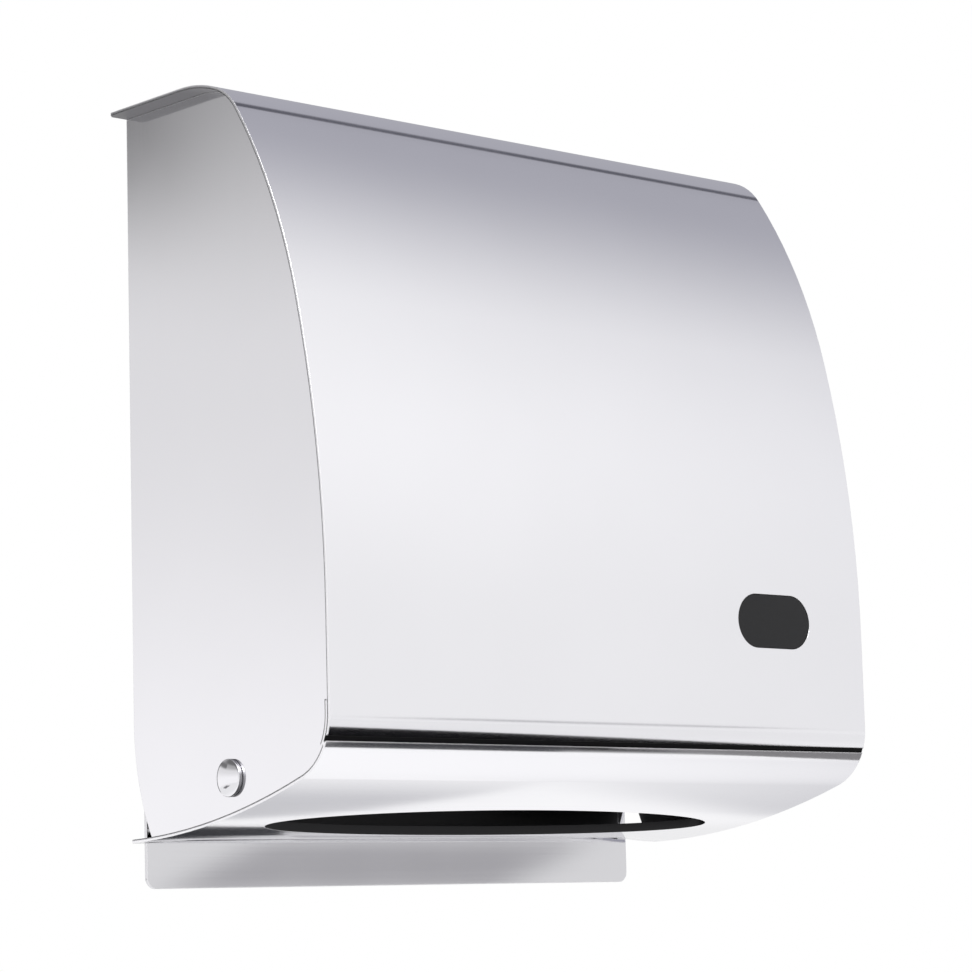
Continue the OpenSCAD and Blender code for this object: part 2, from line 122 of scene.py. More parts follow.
# Cosines of the turn of a surface where an edge starts to look rubbed, and where it is rubbed bare
EDGE_TURN = (0.995, 0.9)
# How squarely the dark line of a sheared end looks inward and sideways, from its first to its full tone
LINE_INWARD = (0.04, 0.16)
LINE_SIDEWAYS = (0.8, 0.95)
# Reach of that line, as a share of the edge wear, and its tone
LINE_REACH = 1.4
LINE_TONE = 0.3

# Height over which the back plate's polished lip turns into the dull finish inside
DULL_FADE = 1.5 * MM
# Height above the lip up to which the back plate is painted darker, a painted shade inside the cover, and
# its two tones
SHADED_HEIGHT = 90 * MM
SHADED_TONE = 0.45
LIT_TONE = 1.6
# Height over which the front sheet's lower edge darkens to the rubber's colour near the seam: painted shade
# of the seam
SEAM_SHADE_FADE = 0.4 * MM
# Height above the side panel over which the wall of a rivet's head is darkened to near black, a painted
# contact shadow where the head meets the panel
RIVET_SHADE = 0.4 * MM

# Height of the dome of a rivet's head above its rim, and how far above the panel the head starts
RIVET_DOME = 1 * MM
HEAD_START = 0.1 * MM
# Half length of the area round the outlet, and its front and rear
OUTLET_REACH = 110 * MM
OUTLET_FRONT = -90 * MM
OUTLET_REAR = -30 * MM
# How far the rear of the lower panel bends up, over what depth, and the half widths between which it fades
REAR_RISE = 2.3 * MM
REAR_REACH = 25 * MM
REAR_FULL = 95 * MM
REAR_ENDS = 126 * MM
REAR_CUTS = 4
CUT_SNAP = 0.001 * MM

# How squarely a face looks to the middle of the cover before it counts as one of the inside
INSIDE_FACING = 0.1
# Depth of the front past which a face that looks forward never counts as one of the inside
FRONT_DEPTH = 100 * MM
FORWARD_FACING = 0.3
# How squarely a face of the outlet looks down before it counts as one of the outside
DOWN_FACING = 0.5
# How squarely a face of a rivet looks along its axis before it is no longer one of its wall
AXIS_FACING = 0.6
# Depth of a side panel that counts as its outside
SIDE_SKIN = 1.5 * MM

BODIES = frame["record"]["behaviour"]["bodies"]
NODE_BODY = {node: body for body, nodes in BODIES.items() for node in nodes}

# Light of the room. Aims are degrees to the right of straight out from the wall, and above the horizon.
# Spreads are cosines to an aim and rises are degrees above the horizon, each from none to full.
BLACK = (0, 0, 0, 1)
GLOW_AIM = (-18, -3.6)
GLOW_SPREAD = (-0.154, 0.506)
GROUND_FADE = -0.03
DIM_RISE = (24, 4)
DIM_LIGHT = 0.9
WALL_AIM = (-144, 0)
WALL_SPREAD = (0.5, 0.85)
WALL_TOP = 0.41
WALL_MIDDLE = 0.37
WALL_MIDDLE_RISE = (15.5, 10)
WALL_FOOT = 0.2
WALL_FOOT_RISE = (10, 1.5)
CORNER_AIM = (-53.7, 0)
CORNER_SPREAD = (0.02, -0.014)
CORNER_RISE = (11.4, 14.2)
CORNER_SHADE = 0.58
HIGH_SPREAD = (-0.3, 0.05)
HIGH_RISE = (16, 20)
HIGH_SHADE = 0.26

# The floor's own light: its shares where the camera and the polish see it, and its dimmer far part
FLOOR_SEEN = 0.55
FLOOR_MIRRORED = 0.9
FLOOR_FAR = (0.9, 1.5)
FLOOR_FAR_LIGHT = 0.89
FLOOR_SIDES = 96

# Boards on the floor lie one above another by a layer, and the ones behind the part stand higher
BOARD_LAYER = 1 * MM
BOARD_FOOT = 50 * MM
# Corners of a board's coordinates
BOARD_CORNERS = ((0, 0), (1, 0), (1, 1), (0, 1))

LAMP_PLACE = (-1.05, -0.95, 1.1)
LAMP_SIZE = 0.9
SENSOR_WIDTH = 36
CLIP_END = 50


class Term:
    """A shader socket that takes part in Python arithmetic, which adds Math nodes."""

    def __init__(self, graph, socket):
        self.graph = graph
        self.socket = socket

    def math(self, operation, *others):
        values = dict(enumerate((self, *others)))
        return self.graph.add("ShaderNodeMath", {"operation": operation}, values)

    def flipped(self, operation, other):
        return self.graph.add("ShaderNodeMath", {"operation": operation}, {0: other, 1: self})

    def __add__(self, other):
        return self.math("ADD", other)

    def __radd__(self, other):
        return self.flipped("ADD", other)

    def __sub__(self, other):
        return self.math("SUBTRACT", other)

    def __rsub__(self, other):
        return self.flipped("SUBTRACT", other)

    def __mul__(self, other):
        return self.math("MULTIPLY", other)

    def __rmul__(self, other):
        return self.flipped("MULTIPLY", other)

    def centred(self):
        """A noise about its middle value."""
        return self - NOISE_MIDDLE


class Graph:
    """The node tree of one material or of the world."""

    def __init__(self, tree):
        self.tree = tree
        tree.nodes.clear()

    def add(self, kind, settings=None, inputs=None, output=0):
        """Adds a node: its settings first, then the values or links of its sockets."""
        node = self.tree.nodes.new(kind)
        for name, value in (settings or {}).items():
            setattr(node, name, value)
        for key, value in (inputs or {}).items():
            if isinstance(value, Term):
                self.tree.links.new(value.socket, node.inputs[key])
            else:
                node.inputs[key].default_value = value
        return Term(self, node.outputs[output] if len(node.outputs) else None)

    def place(self):
        """Where a point lies on the piece, in metres."""
        return self.add("ShaderNodeTexCoord", output="Object")

    def normal(self):
        return self.add("ShaderNodeNewGeometry", output="Normal")

    def ray(self, kind):
        """1 for a kind of ray of light, and 0 for the others."""
        return self.add("ShaderNodeLightPath", output=kind)

    def vector(self, operation, *vectors, output=0):
        values = dict(enumerate(vectors))
        return self.add("ShaderNodeVectorMath", {"operation": operation}, values, output)

    def dot(self, first, second):
        return self.vector("DOT_PRODUCT", first, second, output="Value")

    def noise(self, place, scale, detail=2.0, roughness=0.5):
        return self.add(
            "ShaderNodeTexNoise",
            inputs={"Vector": place, "Scale": scale, "Detail": detail, "Roughness": roughness},
        )

    def drawn_noise(self, place, stretch, detail=2.0, roughness=0.5):
        """A noise drawn out along the axes by a stretch."""
        return self.noise(self.vector("MULTIPLY", place, stretch), 1.0, detail, roughness)

    def eased(self, value, low, high):
        """0 before low, 1 past high and a smooth step between them."""
        return self.add(
            "ShaderNodeMapRange",
            {"interpolation_type": "SMOOTHSTEP"},
            {"Value": value, "From Min": low, "From Max": high},
        )

    def blend(self, factor, first, second):
        """A colour between two colours."""
        inputs = {0: factor, MIX_A: first, MIX_B: second}
        return self.add("ShaderNodeMix", {"data_type": "RGBA"}, inputs, MIX_RESULT)

    def clouded(self, cloud, value, low, high):
        """A colour that a noise changes from a darker to a lighter tone of it."""
        return self.blend(cloud, tinted(value, low), tinted(value, high))

    def bump(self, height, strength, distance):
        return self.add(
            "ShaderNodeBump",
            inputs={"Height": height, "Strength": strength, "Distance": distance},
        )

    def worn_edges(self, radius):
        """Where the surface turns within a radius: 0 on flat and gently curved parts, 1 on edges."""
        rounded = self.add("ShaderNodeBevel", {"samples": 4}, {"Radius": radius})
        return self.eased(self.dot(rounded, self.normal()), *EDGE_TURN)

    def sheared_line(self, radius):
        """The darker side of a sheet's sheared ends, which looks towards the middle of the cover."""
        rounded = self.add("ShaderNodeBevel", {"samples": 6}, {"Radius": radius})
        level = self.vector("MULTIPLY", self.place(), (0, 1, 1))
        middle = (0, cad_middle.y, cad_middle.z)
        inward = self.vector("NORMALIZE", self.vector("SUBTRACT", middle, level))
        facing = self.dot(rounded, inward)
        sideways = self.dot(self.normal(), ACROSS).math("ABSOLUTE")
        return self.eased(facing, *LINE_INWARD) * self.eased(sideways, *LINE_SIDEWAYS)

    def finish(self, shader, target="ShaderNodeOutputMaterial"):
        self.add(target, inputs={"Surface": shader})

    def surface(self, inputs):
        """Ends a material in a Principled shader."""
        self.finish(self.add("ShaderNodeBsdfPrincipled", inputs=inputs))


def colour(value):
    """A colour property as a socket takes it."""
    return (*value, 1.0)


def tinted(value, factor):
    """A colour made lighter or darker."""
    return (*(min(1.0, part * factor) for part in value), 1.0)


def new_graph(name):
    """A new material, and its empty node tree."""
    material = bpy.data.materials.new(name)
    material.use_nodes = True
    return material, Graph(material.node_tree)


def polished_steel(
    name, finish, stretch, roughness, tone=1.0,
    dull_above=None, dull_within=1.0, seam_shade_below=None, sheared=False,
):
    """Polished sheet: fine lines from rolling, soft haze, a few wiped smears and brighter rubbed edges.

    Above a height and within a half width it can keep the dull finish of the mill, as the sheets do inside,
    with painted shade that is darkest just above that height.
    Below another height its edges are darkened to the rubber's colour, a painted shade of the seam. Sheared
    ends have a dark inner line.
    """
    material, g = new_graph(name)
    place = g.place()
    grain = g.drawn_noise(place, stretch, detail=3.0, roughness=0.6)
    haze = g.noise(place, scale=14.0, detail=3.0, roughness=0.55)
    smear = g.eased(g.drawn_noise(place, SMEARS_ACROSS), low=0.52, high=0.75)
    edge = g.worn_edges(finish.edge_wear)
    height = g.dot(place, UP)
    shade = g.clouded(haze, finish.steel, low=0.975 * tone, high=1.02 * tone)
    # Painted shade of the seam: the lower edge blends to the rubber's near black colour
    if seam_shade_below is not None:
        near = g.eased(height, seam_shade_below + 2 * SEAM_SHADE_FADE, seam_shade_below + SEAM_SHADE_FADE)
        touching = g.eased(height, seam_shade_below + SEAM_SHADE_FADE, seam_shade_below)
        shade = g.blend(touching.math("MAXIMUM", edge * near), shade, colour(finish.rubber))
        edge = edge * (1 - near)
    shade = g.blend(edge, shade, tinted(finish.steel, 1.08))
    if sheared:
        line = g.sheared_line(LINE_REACH * finish.edge_wear)
        shade = g.blend(line, shade, tinted(finish.dull, LINE_TONE))
    rough = roughness + finish.grain * grain.centred() + 0.03 * haze.centred() + 0.02 * smear + 0.3 * edge
    if dull_above is not None:
        across = g.dot(place, ACROSS).math("ABSOLUTE")
        dull = g.eased(height, dull_above, dull_above + DULL_FADE)
        dull = dull * g.eased(across, dull_within, dull_within - DULL_FADE)
        dull = dull * g.eased(g.dot(g.normal(), FORWARD), 0, FORWARD_FACING)
        # Painted shade inside the cover: the dull finish is darkest just above the lip and lighter higher
        # up
        lit_higher = g.eased(height, dull_above + SHADED_HEIGHT / 2, dull_above + SHADED_HEIGHT)
        shade = g.blend(dull, shade, g.clouded(lit_higher, finish.dull, SHADED_TONE, LIT_TONE))
        rough = rough + dull * (finish.dull_roughness - roughness)
    g.surface({
        "Base Color": shade,
        "Metallic": 1.0,
        "Roughness": rough,
        "Normal": g.bump(grain, finish.grain_bump, distance=0.02 * MM),
    })
    return material


def dull_steel(name, finish, tone=1.0, shaded_within=None):
    """The insides of the sheets: grey mill finish with a cloudy, uneven shine.

    Within a half width it can be darkened to near black, a painted contact shadow in the corner round a
    rivet's head.
    """
    material, g = new_graph(name)
    place = g.place()
    cloud = g.noise(place, scale=22.0, detail=4.0, roughness=0.6)
    grain = g.noise(place, scale=1300.0)
    shade = g.clouded(cloud, finish.dull, low=0.88 * tone, high=1.1 * tone)
    # Painted contact shadow: near black where the rivet's wall meets the panel
    if shaded_within is not None:
        across = g.dot(place, ACROSS).math("ABSOLUTE")
        contact_shade = g.eased(across, shaded_within, shaded_within - RIVET_SHADE / 2)
        shade = g.blend(contact_shade, shade, colour(finish.rubber))
    g.surface({
        "Base Color": shade,
        "Metallic": 1.0,
        "Roughness": finish.dull_roughness + 0.12 * cloud.centred() + 0.06 * grain.centred(),
        "Normal": g.bump(grain, strength=0.1, distance=0.03 * MM),
    })
    return material


def satin_steel(name, finish, stretch):
    """Brushed sheet of the hidden brackets: coarser lines and a softer shine."""
    material, g = new_graph(name)
    place = g.place()
    grain = g.drawn_noise(place, stretch, detail=3.0, roughness=0.6)
    cloud = g.noise(place, scale=30.0, detail=3.0, roughness=0.6)
    edge = g.worn_edges(finish.edge_wear)
    shade = g.clouded(cloud, finish.satin, low=0.92, high=1.05)
    g.surface({
        "Base Color": g.blend(edge, shade, tinted(finish.satin, 1.25)),
        "Metallic": 1.0,
        "Roughness": 0.27 + 0.14 * grain.centred() + 0.06 * cloud - 0.06 * edge,
        "Normal": g.bump(grain, strength=0.25, distance=0.03 * MM),
    })
    return material


def plated_zinc(name, finish):
    """Die-cast lock parts: bright plating over a slightly pebbled casting."""
    material, g = new_graph(name)
    place = g.place()
    pebble = g.noise(place, scale=900.0)
    cloud = g.noise(place, scale=120.0, detail=3.0, roughness=0.6)
    edge = g.worn_edges(finish.edge_wear)
    shade = g.clouded(cloud, finish.zinc, low=0.93, high=1.06)
    g.surface({
        "Base Color": g.blend(edge, shade, tinted(finish.zinc, 1.18)),
        "Metallic": 1.0,
        "Roughness": 0.24 + 0.1 * cloud.centred() - 0.05 * edge,
        "Normal": g.bump(pebble, strength=0.15, distance=0.05 * MM),
    })
    return material


def nylon(name, finish):
    """Moulded bushes and washers: pale, with a fine mould grain and rubbed, darker edges."""
    material, g = new_graph(name)
    place = g.place()
    grain = g.noise(place, scale=2200.0)
    cloud = g.noise(place, scale=150.0, detail=3.0, roughness=0.6)
    edge = g.worn_edges(finish.edge_wear)
    shade = g.clouded(cloud, finish.nylon, low=0.94, high=1.03)
    g.surface({
        "Base Color": g.blend(0.6 * edge, shade, tinted(finish.nylon, 0.8)),
        "Roughness": 0.42 + 0.1 * cloud.centred() + 0.06 * grain.centred(),
        "Normal": g.bump(grain, strength=0.2, distance=0.04 * MM),
    })
    return material


def black_rubber(name, finish):
    """Extruded strip: near black, with faint lines along its length and dust in the grain."""
    material, g = new_graph(name)
    place = g.place()
    lines = g.drawn_noise(place, RUBBER_LINES)
    dust = g.eased(g.noise(place, scale=700.0, detail=4.0, roughness=0.7), low=0.6, high=0.85)
    g.surface({
        "Base Color": g.clouded(0.35 * dust, finish.rubber, low=1.0, high=3.0),
        "Roughness": 0.55 + 0.12 * lines.centred() + 0.1 * dust,
        "Specular IOR Level": 0.08,
        "Normal": g.bump(lines, strength=0.3, distance=0.03 * MM),
    })
    return material


def smoked_plastic(name, finish):
    """Sight pane: dark see-through plastic with a hard gloss and a few hairline scratches."""
    material, g = new_graph(name)
    place = g.place()
    cloud = g.noise(place, scale=60.0, detail=3.0, roughness=0.6)
    drawn = g.drawn_noise(place, PANE_SCRATCHES, detail=1.0, roughness=0.4)
    scratch = g.eased(drawn, low=0.68, high=0.74)
    g.surface({
        "Base Color": g.clouded(cloud, finish.smoke, low=0.85, high=1.15),
        "Roughness": 0.07 + 0.05 * cloud + 0.12 * scratch,
        "IOR": 1.49,
        "Transmission Weight": 0.4,
        "Specular IOR Level": 0.2,
    })
    return material


def panel_face():
    """How far from the middle the outer faces of the side panels lie."""
    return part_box("right_side_panel")[1][0]


def inside_wrap(face):
    """True for a face of a wrapped sheet that looks into the cover."""
    at = face.calc_center_median()
    if at.y < -FRONT_DEPTH and face.normal.y < -FORWARD_FACING:
        return False
    inward = cad_middle - at
    inward.x = 0
    return face.normal.dot(inward.normalized()) > INSIDE_FACING


def inside_lower(face):
    """True for a face of the lower panel that looks into the cover, or into its outlet."""
    at = face.calc_center_median()
    round_outlet = abs(at.x) < OUTLET_REACH and OUTLET_FRONT < at.y < OUTLET_REAR
    return inside_wrap(face) or (round_outlet and face.normal.z > -DOWN_FACING)


def inside_side(face):
    """True for a face of a side panel or its flanges that looks into the cover."""
    at = face.calc_center_median()
    outward = face.normal.x * math.copysign(1, at.x)
    return abs(at.x) < panel_face() - SIDE_SKIN or outward < -INSIDE_FACING


def rivet_wall(face):
    """True for a face round a rivet, which looks away from its axis."""
    return abs(face.normal.x) < AXIS_FACING


def dome_head(node, work):
    """Turns the dish in a rivet's head into a low dome, which rises from the head's rim."""
    low, high = (Vector(corner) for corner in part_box(node))
    middle = (low + high) / 2
    outer = max(abs(low.x), abs(high.x))
    radius = (high.z - low.z) / 2
    head = panel_face() + HEAD_START
    for vert in work.verts:
        reach = math.hypot(vert.co.y - middle.y, vert.co.z - middle.z) / radius
        if abs(vert.co.x) > head:
            vert.co.x = math.copysign(outer + RIVET_DOME * (1 - min(1, reach * reach)), vert.co.x)


def cut_across(work, place, axis):
    """Cuts a mesh along a plane, without opening it."""
    geom = [*work.verts, *work.edges, *work.faces]
    bmesh.ops.bisect_plane(work, geom=geom, dist=CUT_SNAP, plane_co=place, plane_no=axis)


def clamped(value):
    """A value held between 0 and 1."""
    return min(1, max(0, value))


def bend_rear(node, work):
    """Bends the rear strip of the lower panel up a little between its ends."""
    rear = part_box(node)[1][1]
    fade = REAR_ENDS - REAR_FULL
    for cut in range(REAR_CUTS):
        share = cut / REAR_CUTS
        cut_across(work, (0, rear - REAR_REACH * (1 - share), 0), REARWARD)
        for side in (-1, 1):
            cut_across(work, (side * (REAR_ENDS - fade * share), 0, 0), ACROSS)
    for side in (-1, 1):
        cut_across(work, (side * REAR_FULL, 0, 0), ACROSS)
    for vert in work.verts:
        back = clamped(1 - (rear - vert.co.y) / REAR_REACH)
        along = clamped((REAR_ENDS - abs(vert.co.x)) / fade)
        vert.co.z += REAR_RISE * back * back * along * along * (3 - 2 * along)


def rounded_copy(node, rounding, material, inside=None, is_inside=None, reshape=None):
    """A copy of a solid with its edges rounded, for its shine, on the solid's own body."""
    work = bmesh.new()
    work.from_mesh(frame["nodes"][node].data)
    bmesh.ops.remove_doubles(work, verts=work.verts, dist=WELD)
    if reshape:
        reshape(node, work)
    bmesh.ops.dissolve_limit(work, angle_limit=FLAT_ANGLE, verts=work.verts, edges=work.edges)
    edges = [edge for edge in work.edges if edge.is_manifold and edge.calc_face_angle() > SHARP_ANGLE]
    bmesh.ops.bevel(
        work,
        geom=edges,
        offset=rounding * MM,
        segments=2,
        profile=0.5,
        affect="EDGES",
        clamp_overlap=True,
    )
    for face in work.faces:
        face.smooth = True
        face.material_index = 1 if inside and is_inside(face) else 0
    mesh = bpy.data.meshes.new(f"{node}_finished")
    work.to_mesh(mesh)
    work.free()
    piece = bpy.data.objects.new(f"{node}_finished", mesh)
    bpy.context.scene.collection.objects.link(piece)
    mesh.materials.append(material)
    if inside:
        mesh.materials.append(inside)
    weighted = piece.modifiers.new("Even shading", "WEIGHTED_NORMAL")
    weighted.mode = "FACE_AREA"
    weighted.weight = 100
    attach(piece, NODE_BODY[node])
    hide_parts(node)


def finish_all(nodes, material, inside=None, is_inside=None, reshape=None):
    """Finishes each solid of a group in one material, and its inside in another."""
    for node, rounding in nodes.items():
        rounded_copy(node, rounding, material, inside, is_inside, reshape)


class DispenserFinish(bpy.types.PropertyGroup):
    """Colours and finish of the dispenser's parts."""

    steel: bpy.props.FloatVectorProperty(
        name="Polished steel", description="Colour of the sheets",
        subtype="COLOR", default=(0.915, 0.91, 0.94),
    )
    dull: bpy.props.FloatVectorProperty(
        name="Dull steel", description="Colour of the insides of the sheets",
        subtype="COLOR", default=(0.16, 0.158, 0.165),
    )
    satin: bpy.props.FloatVectorProperty(
        name="Satin steel", description="Colour of the brackets",
        subtype="COLOR", default=(0.6, 0.6, 0.62),
    )
    zinc: bpy.props.FloatVectorProperty(
        name="Plated zinc", description="Colour of the lock",
        subtype="COLOR", default=(0.7, 0.69, 0.68),
    )
    nylon: bpy.props.FloatVectorProperty(
        name="Nylon", description="Colour of the bushes",
        subtype="COLOR", default=(0.78, 0.76, 0.7),
    )
    rubber: bpy.props.FloatVectorProperty(
        name="Rubber", description="Colour of the seam strip",
        subtype="COLOR", default=(0.003, 0.003, 0.0035),
    )
    smoke: bpy.props.FloatVectorProperty(
        name="Smoked plastic", description="Colour of the sight pane",
        subtype="COLOR", default=(0.012, 0.012, 0.014),
    )
    front_roughness: bpy.props.FloatProperty(
        name="Front polish", description="Roughness of the front and the lower panel",
        default=0.1, min=0, max=1,
    )
    side_roughness: bpy.props.FloatProperty(
        name="Side polish", description="Roughness of the side panels",
        default=0.085, min=0, max=1,
    )
    plate_roughness: bpy.props.FloatProperty(
        name="Plate polish", description="Roughness of the back plate and the rivets",
        default=0.06, min=0, max=1,
    )
    dull_roughness: bpy.props.FloatProperty(
        name="Dull finish", description="Roughness of the insides of the sheets",
        default=0.42, min=0, max=1,
    )
    grain: bpy.props.FloatProperty(
        name="Rolling lines", description="How much the lines change the roughness",
        default=0.03, min=0, max=1,
    )
    grain_bump: bpy.props.FloatProperty(
        name="Line depth", description="Strength of the relief of the lines",
        default=0.03, min=0, max=1,
    )
    edge_wear: bpy.props.FloatProperty(
        name="Edge wear", description="Reach of the rubbed edges",
        default=0.7 * MM, min=0, unit="LENGTH",
    )


class DispenserStage(bpy.types.PropertyGroup):
    """The camera, the light and the floor."""

    camera_place: bpy.props.FloatVectorProperty(
        name="Camera", description="Where the camera stands",
        subtype="XYZ", unit="LENGTH", default=(-0.79753, -0.94833, -0.17004),
    )
    camera_yaw: bpy.props.FloatProperty(
        name="Yaw", description="Turn of the camera to the right of the wall's direction",
        subtype="ANGLE", default=math.radians(41.754),
    )
    camera_pitch: bpy.props.FloatProperty(
        name="Pitch", description="Tilt of the camera upward",
        subtype="ANGLE", default=math.radians(7.697),
    )
    camera_roll: bpy.props.FloatProperty(
        name="Roll", description="Turn of the camera about its own line of sight",
        subtype="ANGLE", default=math.radians(-1.544),
    )
    lens: bpy.props.FloatProperty(
        name="Lens", description="Focal length on a sensor 36 mm wide",
        unit="CAMERA", default=120.662,
    )
    floor_gap: bpy.props.FloatProperty(
        name="Floor gap", description="Height of the part above the floor",
        unit="LENGTH", default=0.3,
    )
    floor_radius: bpy.props.FloatProperty(
        name="Floor radius", description="Radius of the floor",
        unit="LENGTH", default=4.0,
    )
    floor: bpy.props.FloatVectorProperty(
        name="Floor", description="Colour of the floor",
        subtype="COLOR", default=(0.9, 0.9, 0.905),
    )
    room: bpy.props.FloatVectorProperty(
        name="Room", description="Colour of the room beside and above the light",
        subtype="COLOR", default=(0.41, 0.41, 0.455),
    )
    wall: bpy.props.FloatVectorProperty(
        name="Wall", description="Colour of the wall behind on the left",
        subtype="COLOR", default=(1.0, 0.995, 1.0),
    )
    light: bpy.props.FloatVectorProperty(
        name="Light", description="Colour of the wide soft light in front",
        subtype="COLOR", default=(1.0, 1.0, 1.0),
    )
    key_power: bpy.props.FloatProperty(
        name="Key light", description="Power of the soft lamp",
        unit="POWER", default=22.0, min=0,
    )


class DISPENSER_OT_wrap(bpy.types.Operator):
    """Finish the front sheet and the lower panel"""

    bl_idname = "dispenser.wrap"
    bl_label = "Front sheet and lower panel"

    def execute(self, context):
        finish = context.scene.dispenser_finish
        roughness = finish.front_roughness
        seam_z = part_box("seam_strip")[1][2]
        front = polished_steel(
            "Polished front", finish, LINES_ACROSS, roughness, seam_shade_below=seam_z, sheared=True
        )
        # Painted light: the lower panel's steel is a lighter copy of the front's, by a twentieth
        lower = polished_steel(
            "Polished lower panel", finish, LINES_ACROSS, roughness, tone=1.05, sheared=True
        )
        dull = dull_steel("Dull inside of the front", finish)
        # Painted shade: the inside of the lower panel and its outlet is dull steel at a third of its tone,
        # darker than the front's inside
        dark = dull_steel("Painted shade inside the lower panel", finish, tone=0.3)
        finish_all(FRONT_SHEET, front, dull, inside_wrap)
        finish_all(LOWER_PANEL, lower, dark, inside_lower, bend_rear)
        return {"FINISHED"}


class DISPENSER_OT_sides(bpy.types.Operator):
    """Finish the two side panels"""

    bl_idname = "dispenser.sides"
    bl_label = "Side panels"

    def execute(self, context):
        finish = context.scene.dispenser_finish
        steel = polished_steel("Polished sides", finish, LINES_UPRIGHT, finish.side_roughness)
        finish_all(SIDE_PANELS, steel, dull_steel("Dull inside of the sides", finish), inside_side)
        return {"FINISHED"}


class DISPENSER_OT_back(bpy.types.Operator):
    """Finish the back plate, its brackets and the lock's keeper"""

    bl_idname = "dispenser.back"
    bl_label = "Back plate and brackets"

    def execute(self, context):
        finish = context.scene.dispenser_finish
        lip_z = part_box("lower_panel")[0][2]
        edge_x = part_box("back_plate")[1][0]
        steel = polished_steel(
            "Polished plate",
            finish,
            LINES_ACROSS,
            finish.plate_roughness,
            tone=0.8,
            dull_above=lip_z + REAR_RISE,
            dull_within=edge_x - 2 * DULL_FADE,
        )
        finish_all(BACK_PLATE, steel)
        finish_all(BRACKETS, satin_steel("Satin brackets", finish, BRUSHED_UPRIGHT))
        return {"FINISHED"}


class DISPENSER_OT_pivots(bpy.types.Operator):
    """Finish the rivets, bushes and washers"""

    bl_idname = "dispenser.pivots"
    bl_label = "Pivots"

    def execute(self, context):
        finish = context.scene.dispenser_finish
        shaded_within = panel_face() + RIVET_SHADE
        steel = polished_steel("Polished rivets", finish, LINES_NOWHERE, finish.plate_roughness)
        wall = dull_steel("Dull wall of the rivets", finish, tone=2.2, shaded_within=shaded_within)
        finish_all(RIVETS, steel, wall, rivet_wall, dome_head)
        finish_all(BUSHES, nylon("Nylon", finish))
        return {"FINISHED"}


class DISPENSER_OT_seam(bpy.types.Operator):
    """Finish the rubber strip in the seam"""

    bl_idname = "dispenser.seam"
    bl_label = "Seam strip"

    def execute(self, context):
        finish_all(SEAM_STRIP, black_rubber("Black rubber", context.scene.dispenser_finish))
        return {"FINISHED"}


class DISPENSER_OT_window(bpy.types.Operator):
    """Finish the sight window with its studs and clips"""

    bl_idname = "dispenser.window"
    bl_label = "Sight window"

    def execute(self, context):
        finish = context.scene.dispenser_finish
        finish_all(WINDOW_PANE, smoked_plastic("Smoked pane", finish))
        finish_all(WINDOW_STUDS, satin_steel("Satin studs", finish, BRUSHED_IN_DEPTH))
        finish_all(WINDOW_CLIPS, plated_zinc("Plated clips", finish))
        return {"FINISHED"}


class DISPENSER_OT_lock(bpy.types.Operator):
    """Finish the cam lock"""

    bl_idname = "dispenser.lock"
    bl_label = "Cam lock"

    def execute(self, context):
        finish = context.scene.dispenser_finish
        finish_all(LOCK_PARTS, plated_zinc("Plated lock", finish))
        finish_all(CAM_SCREW, satin_steel("Satin screw", finish, BRUSHED_UPRIGHT))
        return {"FINISHED"}


def make_camera(stage):
    """The camera at the photograph's place, turned by yaw, pitch and roll."""
    yaw, pitch, roll = stage.camera_yaw, stage.camera_pitch, stage.camera_roll
    ahead = Vector((
        math.sin(yaw) * math.cos(pitch),
        math.cos(yaw) * math.cos(pitch),
        math.sin(pitch),
    ))
    level = Vector((math.cos(yaw), -math.sin(yaw), 0))
    upright = level.cross(ahead)
    right = level * math.cos(roll) + upright * math.sin(roll)
    up = upright * math.cos(roll) - level * math.sin(roll)
    data = bpy.data.cameras.new("Camera")
    data.lens = stage.lens
    data.sensor_width = SENSOR_WIDTH
    data.clip_end = CLIP_END
    camera = bpy.data.objects.new("Camera", data)
    bpy.context.scene.collection.objects.link(camera)
    turn = Matrix((right, up, -ahead)).transposed().to_4x4()
    camera.matrix_world = Matrix.Translation(stage.camera_place) @ turn
    bpy.context.scene.camera = camera


def rise(degrees):
    """Height of a unit direction at an angle above the horizon."""
    return math.sin(math.radians(degrees))


def aimed(turn, lift):
    """A unit direction: degrees to the right of straight out from the wall, and above the horizon."""
    turn, lift = math.radians(turn), math.radians(lift)
    return (math.sin(turn) * math.cos(lift), -math.cos(turn) * math.cos(lift), math.sin(lift))


def make_world(stage):
    """A wide soft light in front, and behind on the left a wall that is bright at its foot."""
    world = bpy.data.worlds.new("Studio")
    world.use_nodes = True
    bpy.context.scene.world = world
    g = Graph(world.node_tree)
    direction = g.add("ShaderNodeTexCoord", output="Generated")
    height = g.dot(direction, UP)

    def risen(low, high):
        return g.eased(height, rise(low), rise(high))

    glow = g.eased(g.dot(direction, aimed(*GLOW_AIM)), *GLOW_SPREAD)
    below = g.eased(height, 0.0, GROUND_FADE)
    light = g.blend(risen(*DIM_RISE), colour(stage.light), tinted(stage.light, DIM_LIGHT))
    front = g.blend(glow.math("MAXIMUM", below), colour(stage.room), light)
    beside = g.dot(direction, aimed(*CORNER_AIM))
    high = risen(*HIGH_RISE)
    corner = g.eased(beside, *CORNER_SPREAD) * risen(*CORNER_RISE) * (1 - high)
    wall = WALL_TOP + WALL_MIDDLE * risen(*WALL_MIDDLE_RISE) + WALL_FOOT * risen(*WALL_FOOT_RISE)
    wall = wall - HIGH_SHADE * high * g.eased(beside, *HIGH_SPREAD)
    rear = g.blend(wall * (1 - CORNER_SHADE * corner), BLACK, colour(stage.wall))
    left = g.eased(g.dot(direction, aimed(*WALL_AIM)), *WALL_SPREAD)
    shade = g.blend(g.ray("Is Camera Ray"), g.blend(left, front, rear), colour(stage.light))
    g.finish(g.add("ShaderNodeBackground", inputs={"Color": shade}), "ShaderNodeOutputWorld")


